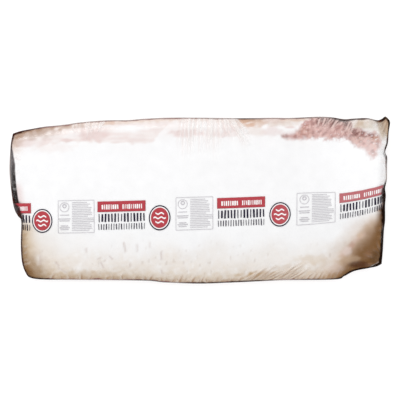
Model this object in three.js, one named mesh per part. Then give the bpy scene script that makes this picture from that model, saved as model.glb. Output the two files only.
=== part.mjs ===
// A whole skinless pork belly, lying fat side up in the clear shrink bag that it was vacuum packed in.
// Millimetres, +Z up, +X along the belly and towards the bag's sealed end, origin under the middle of the pack.
// The pack is one closed solid: an upper sheet over the belly, a tucked edge below it and a flat underside.
import * as THREE from "three";
import { mergeGeometries, mergeVertices } from "three/addons/utils/BufferGeometryUtils.js";
import { ParametricGeometry } from "three/addons/geometries/ParametricGeometry.js";

// Driving dimensions of the pack.
const LENGTH = 643;
const WIDTH = 282;
const THICKNESS = 46; // over the middle of the fat

// How far in from the outline the upper sheet rises to its full height.
const ROUND_WEST = 17;
const ROUND_EAST = 20;
const ROUND_SOUTH = 30;
const ROUND_NORTH = 20;

// The height of the widest line round the pack, and how far in the film tucks under it.
const WAIST = 17;
const TUCK = 11;
const SPINE = (LENGTH - WIDTH) / 2 + 20; // the tuck draws in towards this stretch of the middle line

// The foot of the west end, where the lean spreads out and the widest line lies low.
const WEST_FOOT = { height: 6, reach: 26, south: -30, north: 112, fade: 40 };

// The two corners of the bag at its sealed end hold no meat: there the film is pressed to a thin ear.
const EAR = [317.5, 138.5];
const SMALL_EAR = [307.3, -108.3];
const EAR_REACH = 17;
const EAR_TUCK = 27;

// Where the belly is thinner: its flank to the south, the hollow south-east corner and the west end.
const FLANK_START = -0.1 * WIDTH;
const FLANK_DROP = 11;
const HOLLOW = { at: [0.5 * LENGTH, -0.42 * WIDTH], reach: 82, drop: 19 };
const WEST_SLOPE = { from: -0.36 * LENGTH, run: 0.14 * LENGTH, drop: 6 };

// The mesh: cells along and across the upper sheet, and steps round the tuck.
const CELLS_LONG = 112;
const CELLS_WIDE = 34;
const TUCK_STEPS = 4;
const CREASED_BANDS = [[120, 180], [270, 400], [515, 570]]; // from the west end
const BAND_GAIN = 1.1;
const EDGE_GAIN = 3.2;
const EDGE_REACH = 16;
const SPACING_SAMPLES = 2000;

// The outline's four sides as smooth curves, each from one corner of the bag to the next.
function side(...points) {
  const curve = new THREE.SplineCurve(points.map(([x, y]) => new THREE.Vector2(x, y)));
  curve.arcLengthDivisions = 400;
  return curve;
}

// Both long sides run from west to east, and both ends from south to north.
const WEST_NORTH = [-316.5, 112];
const WEST_SOUTH = [-293, -123.5]; // half way round this corner
const NORTH = side(
  WEST_NORTH, [-297, 117.5], [-215, 129], [-94, 138], [68, 138], [150, 137.6], [180, 139.2], [205, 140.2],
  [224, 139.2], [243, 136.2], [262, 137.4], [282, 138], [299, 134.6], [307, 136.6], [313, 141], EAR,
);
const SOUTH = side(
  WEST_SOUTH, [-276, -132.6], [-161, -134.4], [-90, -135.6], [-58, -138.2], [1, -141], [60, -139],
  [136, -134.8], [227, -133.6], [244, -128], [261, -120], [284, -115.2], [299, -112.6], SMALL_EAR,
);
const WEST = side(
  WEST_SOUTH, [-299.5, -105], [-302.2, -68], [-301, -36], [-306, -27], [-312, -17], [-317, 3],
  [-321.6, 48], [-320.4, 86], WEST_NORTH,
);
const EAST = side(
  SMALL_EAR, [308.6, -85], [310.6, -52], [312.2, -32], [312.4, -9], [313.4, 7], [312.2, 20], [314.8, 34],
  [315, 58], [315.8, 72], [312.6, 81], [317, 96], [318.4, 116], [321.6, 131], EAR,
);

// Main creases that the shrunk film presses into the edge of the fat. Each family starts at a point, repeats by a
// step, and every crease runs by its reach: it swells at its start and fades towards its end.
const CREASE_SWELL = 6; // its start takes a sixth of its reach
const CREASE_FAMILIES = [
  { start: [-44, 137], step: [10.5, 0], count: 9, reach: [4, -48], spread: [2.6, 0], rise: 1.5, half: 2.4 },
  { start: [-190, 128], step: [9, 1], count: 5, reach: [-5, -26], spread: [2, 0], rise: 1.2, half: 2.2 },
  { start: [216, 139], step: [10, -0.6], count: 5, reach: [-17, -24], spread: [0, 0], rise: 2.2, half: 2.4 },
  { start: [80, -137], step: [12, 0], count: 6, reach: [26, 29], spread: [0, 0], rise: 1.4, half: 2.4 },
  { start: [314, 136], step: [0, 0], count: 4, reach: [-52, -6], spread: [13, -17], rise: 1.8, half: 3 },
  { start: [305, -104], step: [0, 0], count: 3, reach: [-40, 4], spread: [14, 15], rise: 1.6, half: 3 },
];

// Broad, shallow lumps of the fat: centre, radii and rise.
const LUMPS = [
  { at: [-190, 20], radii: [110, 60], rise: 1.6 },
  { at: [40, -60], radii: [90, 40], rise: 1.8 },
  { at: [190, 40], radii: [80, 60], rise: 1.4 },
  { at: [-70, 80], radii: [70, 34], rise: -1.8 },
  { at: [-240, -80], radii: [46, 34], rise: -2 },
  { at: [262, -66], radii: [34, 12], rise: 2.6 },
];

const clamp01 = (t) => Math.min(1, Math.max(0, t));
const smooth = (t) => clamp01(t) ** 2 * (3 - 2 * clamp01(t));
const bell = (t) => Math.exp(-t * t);

// Rises from 0 at the outline to 1 at the given distance in, along a quarter of an ellipse.
const rim = (distance, radius) => Math.sqrt(1 - (1 - clamp01(distance / radius)) ** 2);

// The height of the belly under the film, before its edges are rounded.
function bellyHeight(x, y) {
  const flank = smooth((FLANK_START - y) / (WIDTH / 2 + FLANK_START));
  const hollow = bell(Math.hypot(x - HOLLOW.at[0], y - HOLLOW.at[1]) / HOLLOW.reach);
  const west = smooth((WEST_SLOPE.from - x) / WEST_SLOPE.run);
  const lumps = LUMPS.reduce(
    (sum, { at, radii, rise }) => sum + rise * bell((x - at[0]) / radii[0]) * bell((y - at[1]) / radii[1]), 0,
  );
  return THICKNESS - FLANK_DROP * flank - HOLLOW.drop * hollow - WEST_SLOPE.drop * west + lumps;
}

// The height of the outline: low along the upper part of the west end, where the side wall slopes outwards.
function waistHeight(x, y) {
  const { height, reach, south, north, fade } = WEST_FOOT;
  const west = bell((x + LENGTH / 2) / reach) * smooth((y - south) / fade) * smooth((north - y) / fade);
  return WAIST + (height - WAIST) * west;
}

// How much a point belongs to one of the two ears of empty film.
function earShare(x, y) {
  return Math.max(...[EAR, SMALL_EAR].map(([ex, ey]) => bell(Math.hypot(x - ex, y - ey) / EAR_REACH)));
}

// How far a crease lifts the film at a point: a rounded ridge that fades from its start to its end.
function creaseLift(x, y) {
  let lift = 0;
  for (const { start, step, count, reach, spread, rise, half } of CREASE_FAMILIES) {
    for (let n = 0; n < count; n++) {
      const turn = n - (count - 1) / 2;
      const rx = reach[0] + spread[0] * turn;
      const ry = reach[1] + spread[1] * turn;
      const dx = x - start[0] - step[0] * n;
      const dy = y - start[1] - step[1] * n;
      const along = (dx * rx + dy * ry) / (rx * rx + ry * ry);
      const beside = (dx * ry - dy * rx) / Math.hypot(rx, ry);
      lift += rise * bell(beside / half) * smooth(1 - along) * smooth(1 + along * CREASE_SWELL);
    }
  }
  return lift;
}

// Shares from 0 to 1 whose spacing is fine near both ends and in the given bands, for the mesh's columns and rows.
function spacing(cells, size, bands) {
  const total = [0];
  for (let i = 0; i < SPACING_SAMPLES; i++) {
    const at = ((i + 0.5) / SPACING_SAMPLES) * size;
    const edge = bell(Math.min(at, size - at) / EDGE_REACH);
    const inBand = bands.some(([from, to]) => at > from && at < to);
    total.push(total[i] + 1 + EDGE_GAIN * edge + (inBand ? BAND_GAIN : 0));
  }
  return Array.from({ length: cells + 1 }, (_, n) => {
    const wanted = (n / cells) * total[SPACING_SAMPLES];
    const next = Math.max(1, total.findIndex((sum) => sum >= wanted));
    return (next - 1 + (wanted - total[next - 1]) / (total[next] - total[next - 1])) / SPACING_SAMPLES;
  });
}

const COLUMNS = spacing(CELLS_LONG, LENGTH, CREASED_BANDS);
const ROWS = spacing(CELLS_WIDE, WIDTH, []);

// A point of the plan at the shares a, west to east, and b, south to north: a patch stretched between the four sides.
function plan(a, b) {
  const [south, north] = [SOUTH.getPointAt(a), NORTH.getPointAt(a)];
  const [west, east] = [WEST.getPointAt(b), EAST.getPointAt(b)];
  const across = south.clone().lerp(north, b);
  const along = west.clone().lerp(east, a);
  const low = SOUTH.getPointAt(0).lerp(SOUTH.getPointAt(1), a);
  const high = NORTH.getPointAt(0).lerp(NORTH.getPointAt(1), a);
  const corners = low.lerp(high, b);
  const p = across.add(along).sub(corners);
  const edge =
    rim(p.distanceTo(west), ROUND_WEST) * rim(p.distanceTo(east), ROUND_EAST) *
    rim(p.distanceTo(south), ROUND_SOUTH) * rim(p.distanceTo(north), ROUND_NORTH);
  return { p, edge };
}

// The upper sheet of film.
function upperSheet() {
  const surface = (u, v, target) => {
    const a = COLUMNS[Math.round(u * CELLS_LONG)];
    const b = ROWS[Math.round(v * CELLS_WIDE)];
    const { p, edge } = plan(a, b);
    const waist = waistHeight(p.x, p.y);
    const belly = bellyHeight(p.x, p.y) + creaseLift(p.x, p.y);
    target.set(p.x, p.y, waist + (belly - waist) * edge * (1 - earShare(p.x, p.y)));
  };
  return new ParametricGeometry(surface, CELLS_LONG, CELLS_WIDE);
}

// The loop of points round the edge of the upper sheet, anticlockwise from the south-west corner.
function outlineLoop(sheet) {
  const position = sheet.getAttribute("position");
  const at = (column, row) => new THREE.Vector3().fromBufferAttribute(position, row * (CELLS_LONG + 1) + column);
  const loop = [];
  for (let c = 0; c < CELLS_LONG; c++) loop.push(at(c, 0));
  for (let r = 0; r < CELLS_WIDE; r++) loop.push(at(CELLS_LONG, r));
  for (let c = CELLS_LONG; c > 0; c--) loop.push(at(c, CELLS_WIDE));
  for (let r = CELLS_WIDE; r > 0; r--) loop.push(at(0, r));
  return loop;
}

// One step of the tuck: the loop drawn in towards the middle line of the belly, and lowered to the table.
// The tuck bulges round the meat, and is hollow under the thin ears.
function tucked(loop, step) {
  const angle = ((step / TUCK_STEPS) * Math.PI) / 2;
  const [round, hollow] = [1 - Math.cos(angle), Math.sin(angle)];
  return loop.map((point) => {
    const inward = new THREE.Vector2(THREE.MathUtils.clamp(point.x, -SPINE, SPINE) - point.x, -point.y).normalize();
    const ear = earShare(point.x, point.y);
    const drawn = THREE.MathUtils.lerp(TUCK * round, EAR_TUCK * hollow, ear);
    const lowered = THREE.MathUtils.lerp(hollow, round, ear);
    return new THREE.Vector3(
      point.x + inward.x * drawn,
      point.y + inward.y * drawn,
      step === TUCK_STEPS ? 0 : point.z * (1 - lowered),
    );
  });
}

// The tucked edge below the outline, and the flat underside that it ends in.
function underside(loop) {
  const loops = Array.from({ length: TUCK_STEPS + 1 }, (_, step) => tucked(loop, step));
  const around = loop.length;
  const index = [];
  for (let step = 0; step < TUCK_STEPS; step++) {
    for (let n = 0; n < around; n++) {
      const [upper, lower, next] = [step * around, (step + 1) * around, (n + 1) % around];
      index.push(upper + n, lower + n, upper + next, upper + next, lower + n, lower + next);
    }
  }
  const flat = loops[TUCK_STEPS].map(({ x, y }) => new THREE.Vector2(x, y));
  for (const [i, j, k] of THREE.ShapeUtils.triangulateShape(flat, [])) {
    index.push(TUCK_STEPS * around + i, TUCK_STEPS * around + k, TUCK_STEPS * around + j);
  }
  const positions = loops.flat().flatMap(({ x, y, z }) => [x, y, z]);
  return new THREE.BufferGeometry()
    .setAttribute("position", new THREE.Float32BufferAttribute(positions, 3))
    .setIndex(index);
}

// The whole pack, closed, and moved so that its box is centred over the origin.
function packGeometry() {
  const sheet = upperSheet();
  sheet.deleteAttribute("normal");
  sheet.deleteAttribute("uv");
  const pack = mergeVertices(mergeGeometries([sheet, underside(outlineLoop(sheet))]), 1e-3);
  pack.computeBoundingBox();
  const middle = pack.boundingBox.getCenter(new THREE.Vector3());
  pack.translate(-middle.x, -middle.y, -pack.boundingBox.min.z);
  pack.computeVertexNormals();
  return pack;
}

// White fat seen through glossy clear film.
const filmedFat = new THREE.MeshStandardMaterial({ color: 0xf3eee9, roughness: 0.25, metalness: 0 });

const pack = new THREE.Mesh(packGeometry(), filmedFat);
pack.name = "vacuum_pack";

const porkBelly = new THREE.Group();
porkBelly.add(pack);

export default porkBelly;
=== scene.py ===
import math

import bpy
import numpy as np
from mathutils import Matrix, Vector, geometry
from mathutils.bvhtree import BVHTree


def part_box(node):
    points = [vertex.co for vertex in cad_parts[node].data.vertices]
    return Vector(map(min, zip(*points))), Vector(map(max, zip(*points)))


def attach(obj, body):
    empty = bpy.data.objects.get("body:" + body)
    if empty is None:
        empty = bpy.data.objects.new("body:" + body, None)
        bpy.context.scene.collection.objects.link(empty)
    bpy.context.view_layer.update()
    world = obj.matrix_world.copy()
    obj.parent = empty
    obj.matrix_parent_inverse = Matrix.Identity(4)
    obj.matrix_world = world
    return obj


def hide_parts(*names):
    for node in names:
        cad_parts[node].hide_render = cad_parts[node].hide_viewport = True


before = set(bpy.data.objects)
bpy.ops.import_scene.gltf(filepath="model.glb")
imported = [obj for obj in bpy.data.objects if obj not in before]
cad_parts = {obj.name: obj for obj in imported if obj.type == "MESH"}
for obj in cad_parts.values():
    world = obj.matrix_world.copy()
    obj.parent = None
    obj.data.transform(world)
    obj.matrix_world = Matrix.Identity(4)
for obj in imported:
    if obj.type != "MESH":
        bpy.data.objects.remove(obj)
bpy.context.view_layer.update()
pack_low, pack_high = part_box("vacuum_pack")

# ---------------------------------------------------------------------------------------------------------
# The belly: one skinless slab, a cap of white fat over layers of lean, cut square at its ends. It lies fat
# side up, and the shrink bag rounds its edges and prints its creases into the fat. Sizes are in millimetres,
# east is the bag's sealed end and north the long side with the lean patch.

MM = 0.001
LENGTH, WIDTH = ((pack_high - pack_low) / MM)[:2]
THICKNESS = 46  # over the middle of the fat

WAIST = 17  # height of the widest line round the pack
TUCK = 11  # how far in the edge tucks under it
SPINE = (LENGTH - WIDTH) / 2 + 20  # edges draw in towards this stretch of the middle line
WEST_FOOT = {"height": 6, "reach": 26, "south": -30, "north": 112, "fade": 40}
ROUND = {"west": 17, "east": 20, "south": 30, "north": 20}

FLANK_START, FLANK_DROP = -0.1 * WIDTH, 11
HOLLOW = {"at": (0.5 * LENGTH, -0.42 * WIDTH), "reach": 82, "drop": 19}
WEST_SLOPE = {"from": -0.36 * LENGTH, "run": 0.14 * LENGTH, "drop": 6}
LUMPS = [  # centre, radii and rise of the broad lumps in the fat
    ((-190, 20), (110, 60), 1.6),
    ((40, -60), (90, 40), 1.8),
    ((190, 40), (80, 60), 1.4),
    ((-70, 80), (70, 34), -1.8),
    ((-240, -80), (46, 34), -2),
    ((262, -66), (34, 12), 2.6),
]

# The outline that the belly and its bag share, without the corners at the sealed end.
WEST_NORTH, WEST_SOUTH = (-316.5, 112), (-294.6, -123.5)
NORTH = [
    WEST_NORTH, (-303, 116.3), (-283, 120.1), (-262, 123.8), (-242, 125.6), (-222, 128), (-202, 130.8),
    (-161, 134.2), (-121, 134.8), (-94, 137), (-40, 139), (68, 138), (122, 138.6), (150, 138.3),
    (180, 139.6), (205, 140.4), (224, 139.2), (243, 136.2), (262, 137.4), (282, 138), (299, 134.6),
]
SOUTH = [
    WEST_SOUTH, (-289.6, -130.4), (-276, -134), (-245, -135.2), (-161, -136), (-90, -136.9), (-58, -140),
    (1, -141.7), (60, -139.7), (136, -136.3), (227, -134.8), (244, -129.1), (261, -120.6), (284, -115.8),
]
WEST = [
    WEST_SOUTH, (-300.8, -105), (-302.8, -74), (-301.8, -36), (-307.2, -27), (-313.2, -17), (-318.4, 3),
    (-323, 48), (-321.2, 86), WEST_NORTH,
]
EAST = [
    (309.4, -85), (311.2, -52), (313.2, -34), (313.2, -9), (314.4, 7), (313.2, 20), (316, 34), (316.4, 58),
    (316.6, 72), (313.4, 81), (317.8, 96), (319.4, 116),
]

LIP = 1.6  # width of the flat seal at the east end
MEAT_INSET, SEAL_INSET = 1.0, 1.7 + LIP  # from the bag, at its edges and at the seal
MEAT_GAP = 0.7  # below the film, on top
EAR, SMALL_EAR = (317.5, 138.5), (307.3, -108.3)  # the bag's slack corners, pressed to thin ears
EAR_REACH, EAR_TUCK = 17, 27  # an ear's reach, and the depth of the hollow below it
EAR_FILM = 7  # how much of an ear's tip is film alone


def clamp01(t):
    return np.clip(t, 0, 1)


def smooth(t):
    return clamp01(t) ** 2 * (3 - 2 * clamp01(t))


def bell(t):
    return np.exp(-np.square(t))


def rim(distance, radius):
    """Rises from 0 at the outline to 1 at the given distance in, along a quarter of an ellipse."""
    return np.sqrt(1 - (1 - clamp01(distance / radius)) ** 2)


def mottle(x, y, size, seed, waves=22):
    """Smooth unevenness of about the given size, mostly between -1 and 1: waves that cross at random."""
    draw = np.random.default_rng(seed)
    turns, phases = draw.uniform(0, 2 * math.pi, (2, waves))
    lengths = size * draw.uniform(0.8, 2.2, waves)
    total = np.zeros(np.broadcast(x, y).shape)
    for turn, phase, length in zip(turns, phases, lengths):
        total += np.sin(2 * math.pi * (x * math.cos(turn) + y * math.sin(turn)) / length + phase)
    return total / math.sqrt(waves)


def side(*points, samples=3000):
    """A smooth curve through the points, as a function of the share of its length from 0 to 1."""
    p = np.array(points, float)
    t = np.linspace(0, len(p) - 1, samples)
    k = np.minimum(t.astype(int), len(p) - 2)
    w = (t - k)[:, None]
    before, start, end, after = (p[np.clip(k + step, 0, len(p) - 1)] for step in (-1, 0, 1, 2))
    leave, arrive = (end - before) / 2, (after - start) / 2
    curve = start + leave * w + (3 * (end - start) - 2 * leave - arrive) * w**2
    curve += (2 * (start - end) + leave + arrive) * w**3
    length = np.concatenate([[0], np.cumsum(np.linalg.norm(np.diff(curve, axis=0), axis=1))])
    return lambda share: np.stack([np.interp(share * length[-1], length, curve[:, i]) for i in (0, 1)], -1)


def inward(points):
    """The unit direction from each point towards the middle line of the belly."""
    points = np.asarray(points, float)
    to_spine = np.stack([np.clip(points[..., 0], -SPINE, SPINE) - points[..., 0], -points[..., 1]], -1)
    return to_spine / np.linalg.norm(to_spine, axis=-1, keepdims=True)


def pressed_height(x, y):
    """The height of the fat, before its edges are rounded."""
    drop = FLANK_DROP * smooth((FLANK_START - y) / (WIDTH / 2 + FLANK_START))
    drop = drop + WEST_SLOPE["drop"] * smooth((WEST_SLOPE["from"] - x) / WEST_SLOPE["run"])
    to_hollow = np.hypot(x - HOLLOW["at"][0], y - HOLLOW["at"][1])
    drop = drop + HOLLOW["drop"] * bell(to_hollow / HOLLOW["reach"])
    lumps = sum(rise * bell((x - cx) / rx) * bell((y - cy) / ry) for (cx, cy), (rx, ry), rise in LUMPS)
    uneven = 0.4 * mottle(x, y, 46, seed=3) + 0.05 * mottle(x, y, 14, seed=4)
    return THICKNESS - drop + lumps + uneven


def ear_share(x, y):
    """How far each point belongs to an ear: 1 at its tip."""
    return np.maximum(*(bell(np.hypot(x - ex, y - ey) / EAR_REACH) for ex, ey in (EAR, SMALL_EAR)))


def waist_height(x, y):
    """The height of the outline: low where the lean spreads out at the foot of the west end."""
    foot = bell((x + LENGTH / 2) / WEST_FOOT["reach"]) * smooth((y - WEST_FOOT["south"]) / WEST_FOOT["fade"])
    foot = foot * smooth((WEST_FOOT["north"] - y) / WEST_FOOT["fade"])
    return WAIST + (WEST_FOOT["height"] - WAIST) * foot


# Creases of the shrunk bag, which print into the fat. The creases of a family start between its first and
# last start, and reach from there by a vector that turns from the first reach to the last.
CREASES = [  # first and last start, number, first and last reach, rise and half width
    ((-28, 139), (32, 139), 11, (-4, -72), (4, -84), 1.8, 1.7),
    ((38, 139), (60, 139), 5, (14, -62), (42, -56), 2.2, 1.7),
    ((-212, 130), (-200, 132), 3, (5, -24), (4, -26), 1.2, 1.2),
    ((-190, 130), (-160, 134), 6, (4, -30), (-10, -30), 1.3, 1.2),
    ((204, 140), (266, 137), 15, (-10, -18), (-22, -32), 2.6, 1.5),
    ((74, -136), (150, -135), 14, (42, 28), (50, 33), 2.5, 1.4),
    ((158, -137), (226, -135), 9, (16, 16), (12, 24), 1.2, 1.2),
    ((-250, -135), (60, -141), 26, (3, 14), (9, 16), 1.2, 1.3),
    ((-66, -139), (-44, -139), 2, (0, 10), (0, 10), 1.8, 1.1),
    ((-4, -141), (12, -141), 3, (2, 12), (-2, 12), 1.8, 1.1),
    ((-309, 84), (-312, 20), 7, (18, -3), (13, 2), 0.7, 1.4),
    ((-294, -112), (-295, -40), 7, (14, 6), (11, 1), 0.4, 1.3),
    ((315, 98), (311, -60), 17, (-20, 4), (-18, -4), 1.1, 1.3),
    ((313, 138), (317, 128), 7, (-38, -12), (-15, -40), 1.8, 1.3),
    ((306, -110), (309, -98), 6, (-42, 1), (-17, 34), 1.4, 1.3),
    ((264, 136), (300, 134), 6, (-6, -16), (-10, -20), 1.0, 1.2),
]
CREASE_SEED = 11


def creases(x, y):
    """How far the creases lift the film, in thin ridges that swell at the edge and fade inwards, and how
    strongly each point lies in the painted shade that every ridge has along one side."""
    draw = np.random.default_rng(CREASE_SEED)
    lift, foot = np.zeros(x.shape), np.zeros(x.shape)
    for first, last, count, first_reach, last_reach, rise, half_width in CREASES:
        for n in range(count):
            share = (n + draw.uniform(-0.3, 0.3)) / (count - 1)
            start = np.add(first, share * np.subtract(last, first))
            reach = np.add(first_reach, share * np.subtract(last_reach, first_reach))
            reach = reach * draw.uniform(0.6, 1.15)
            length = np.linalg.norm(reach)
            dx, dy = x - start[0], y - start[1]
            along = (dx * reach[0] + dy * reach[1]) / length**2
            wander = 0.8 * np.sin(draw.uniform(4, 8) * along + draw.uniform(0, 6))
            wander = wander + draw.uniform(-3, 3) * along**2
            half = half_width * draw.uniform(0.75, 1.3)
            beside = ((dx * reach[1] - dy * reach[0]) / length + wander) / half
            swell = smooth((1 - along) / 0.7) * smooth(1 + 5 * along)
            height = rise * draw.uniform(0.4, 1.1)
            lift += height * np.exp(-np.abs(beside) ** 1.4) * swell
            # the foot is painted shade along one side of each ridge
            foot = np.maximum(foot, bell(beside - 1.9) * swell * min(1, height))
    return lift, foot


def crinkle(x, y, distance):
    """Fine unevenness of film and fat near the edges, in folds that run in from each edge."""
    north = 0.3 * mottle(x, 0.15 * y, 5, seed=21) * bell(distance["north"] / 26)
    south = 0.3 * mottle(x - 0.8 * y, 0.2 * y, 5, seed=22) * bell(distance["south"] / 22)
    west = 0.6 * mottle(0.5 * x, y, 5, seed=23) * bell(distance["west"] / 14)
    east = 0.4 * mottle(0.15 * x, y, 6, seed=24) * bell(distance["east"] / 20)
    return north + south + west + east


def spacing(size, rounds, round_steps, step, bands, fine_step):
    """Shares from 0 to 1 for a grid's lines: even in angle over the rounded edges, fine in the bands."""
    at = np.linspace(0, size, 20001)
    turn_low = np.arccos(1 - clamp01(at / rounds[0])) * 2 / math.pi
    turn_high = np.arccos(1 - clamp01((size - at) / rounds[1])) * 2 / math.pi
    in_band = np.any([(at > low) & (at < high) for low, high in bands], axis=0)
    density = np.where(in_band, 1 / fine_step, 1 / step)
    count = round_steps * (turn_low + 1 - turn_high) + np.cumsum(density) * (at[1] - at[0])
    return np.interp(np.linspace(count[0], count[-1], round(count[-1]) + 1), count, at) / size


def stretched_plan(sides, columns, rows):
    """A patch stretched between the four sides: its points by row and column, and their distances to the
    sides."""
    south, north, west, east = (sides[name] for name in ("south", "north", "west", "east"))
    a, b = columns[None, :, None], rows[:, None, None]
    s, n, w, e = south(columns)[None], north(columns)[None], west(rows)[:, None], east(rows)[:, None]
    low = s[:, :1] * (1 - a) + s[:, -1:] * a
    high = n[:, :1] * (1 - a) + n[:, -1:] * a
    plan = s * (1 - b) + n * b + w * (1 - a) + e * a - (low * (1 - b) + high * b)
    edges = {"south": s, "north": n, "west": w, "east": e}
    return plan, {name: np.linalg.norm(plan - edge, axis=-1) for name, edge in edges.items()}


def border(rows, columns):
    """The indices of a grid's border points, anticlockwise from the first one."""
    grid = np.arange(rows * columns).reshape(rows, columns)
    return np.concatenate([grid[0, :-1], grid[:-1, -1], grid[-1, :0:-1], grid[:0:-1, 0]])


def line_distance(x, y, line):
    """The distance from each point to a line of straight steps."""
    nearest = np.full(x.shape, 1e9)
    for (ax, ay), (bx, by) in zip(line[:-1], line[1:]):
        ex, ey = bx - ax, by - ay
        share = clamp01(((x - ax) * ex + (y - ay) * ey) / max(ex * ex + ey * ey, 1e-12))
        nearest = np.minimum(nearest, np.hypot(x - ax - share * ex, y - ay - share * ey))
    return nearest


def inside_distance(x, y, outline):
    """The distance from each point to a closed outline, positive inside it."""
    closed = np.vstack([outline, outline[:1]])
    inside = np.zeros(x.shape, bool)
    for (ax, ay), (bx, by) in zip(closed[:-1], closed[1:]):
        if ay != by:
            inside ^= ((ay > y) != (by > y)) & (x < ax + (y - ay) / (by - ay) * (bx - ax))
    return np.where(inside, 1, -1) * line_distance(x, y, closed)


def closed_skin(top, loops, underside_height, underside_step):
    """The vertices and faces of a closed skin: a grid on top, loops below its border, a flat underside."""
    rows, columns = top.shape[:2]
    grid = np.arange(rows * columns).reshape(rows, columns)
    faces = np.stack([grid[:-1, :-1], grid[:-1, 1:], grid[1:, 1:], grid[1:, :-1]], -1)
    faces = faces.reshape(-1, 4).tolist()
    upper = border(rows, columns)
    points = [top.reshape(-1, 3)]
    total = rows * columns
    for loop in loops:
        lower = total + np.arange(len(upper))
        faces += np.stack([upper, lower, np.roll(lower, -1), np.roll(upper, -1)], -1).tolist()
        points.append(loop)
        total += len(upper)
        upper = lower
    rim_points = loops[-1][:, :2]
    low, high = rim_points.min(0), rim_points.max(0)
    across, along = np.mgrid[low[1]:high[1]:underside_step, low[0]:high[0]:underside_step]
    inner = np.stack([along.ravel(), across.ravel()], -1)
    inner = inner[inside_distance(inner[:, 0], inner[:, 1], rim_points) > 0.6 * underside_step]
    flat = [Vector(p) for p in np.concatenate([rim_points, inner]).tolist()]
    count = len(rim_points)
    edges = [(n, (n + 1) % count) for n in range(count)]
    _, _, triangles, origins, _, _ = geometry.delaunay_2d_cdt(flat, edges, [], 1, 1e-6)
    names = [upper[o[0]] if o[0] < count else total + o[0] - count for o in origins]
    faces += [[int(names[n]) for n in reversed(triangle)] for triangle in triangles]
    heights = underside_height(inner[:, 0], inner[:, 1])
    points.append(np.column_stack([inner, heights]))
    return np.concatenate(points), faces


def piece(name, points, faces, material):
    """A smooth mesh object, from points in millimetres."""
    mesh = bpy.data.meshes.new(name)
    mesh.from_pydata((np.asarray(points) * MM).tolist(), [], faces)
    mesh.shade_smooth()
    mesh.materials.append(material)
    made = bpy.data.objects.new(name, mesh)
    bpy.context.scene.collection.objects.link(made)
    return made


def paint(made, name, values):
    """Keeps a value or a colour for each vertex of a piece, which its material reads by name."""
    values = np.asarray(values, np.float32)
    if values.ndim == 1:
        made.data.attributes.new(name, "FLOAT", "POINT").data.foreach_set("value", values)
    else:
        opaque = np.column_stack([values, np.ones(len(values), np.float32)])
        made.data.attributes.new(name, "FLOAT_COLOR", "POINT").data.foreach_set("color", opaque.ravel())


def linear(red, green, blue):
    """A colour as Blender's materials take it, from its three values on a screen."""
    channel = np.array([red, green, blue], float) / 255
    return np.where(channel <= 0.04045, channel / 12.92, ((channel + 0.055) / 1.055) ** 2.4)


def drawn_in(points, by):
    return np.asarray(points, float) + inward(points) * by


# The belly's plan: the shared outline drawn in, most of all at the ears.
meat_corners = drawn_in([SMALL_EAR, EAR], EAR_FILM)
meat_west = drawn_in(WEST, MEAT_INSET)
meat_east = np.vstack([meat_corners[0], drawn_in(EAST, SEAL_INSET), meat_corners[1]])
meat_south = np.vstack([drawn_in(SOUTH, MEAT_INSET), meat_corners[0]])
meat_north = np.vstack([drawn_in(NORTH, MEAT_INSET), meat_corners[1]])
meat_sides = {"south": side(*meat_south), "north": side(*meat_north),
              "west": side(*meat_west), "east": side(*meat_east)}
CREASED = [(98, 165), (288, 384), (396, 512), (516, 600)]  # stretches from the west end
CREASED_EDGES = [(4, 40), (WIDTH - 48, WIDTH - 4)]  # stretches from the south side
meat_columns = spacing(LENGTH, (ROUND["west"], ROUND["east"]), 12, 2.4, CREASED, 1.4)
meat_rows = spacing(WIDTH, (ROUND["south"], ROUND["north"]), 14, 2.3, CREASED_EDGES, 1.5)
meat_plan, meat_distance = stretched_plan(meat_sides, meat_columns, meat_rows)


def rounding(distance, lip=0):
    """The share of its full height that the top has, by the distances to the four sides."""
    east = rim(np.maximum(distance["east"] - lip, 0), ROUND["east"])
    others = [rim(distance[name], ROUND[name]) for name in ("west", "south", "north")]
    return others[0] * east * others[1] * others[2]


IMPRINT = 0.55  # how much of a crease's height prints into the fat


def top_of_meat():
    x, y = meat_plan[..., 0], meat_plan[..., 1]
    waist = waist_height(x, y)
    relief = IMPRINT * creases(x, y)[0] + crinkle(x, y, meat_distance)
    full = pressed_height(x, y) + relief - MEAT_GAP
    share = rounding(meat_distance) * (1 - ear_share(x, y))
    return np.dstack([meat_plan, waist + (full - waist) * share])


def tucked(edge, steps, lowest):
    """The loops below a border, down to the given height: round under the belly, hollow under the ears."""
    ear = ear_share(edge[:, 0], edge[:, 1])
    loops = []
    for step in range(1, steps + 1):
        angle = step / steps * math.pi / 2
        round_share, hollow_share = 1 - math.cos(angle), math.sin(angle)
        drawn = TUCK * round_share * (1 - ear) + EAR_TUCK * hollow_share * ear
        lowered = hollow_share * (1 - ear) + round_share * ear
        plan = edge[:, :2] + inward(edge[:, :2]) * drawn[:, None]
        loops.append(np.column_stack([plan, edge[:, 2] + (lowest - edge[:, 2]) * lowered]))
    return loops


MEAT_FLOOR = 0.9  # height of the belly's lowest edge, just above the film


def under_meat(x, y):
    """The height of the belly's underside, which follows the slight waves of the film below it."""
    return 1.1 + 0.35 * (1 + mottle(0.3 * x, y, 14, seed=31)).clip(0)


meat_top = top_of_meat()
meat_border = meat_top.reshape(-1, 3)[border(*meat_top.shape[:2])]
meat_points, meat_faces = closed_skin(meat_top, tucked(meat_border, 9, MEAT_FLOOR), under_meat, 6)
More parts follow.
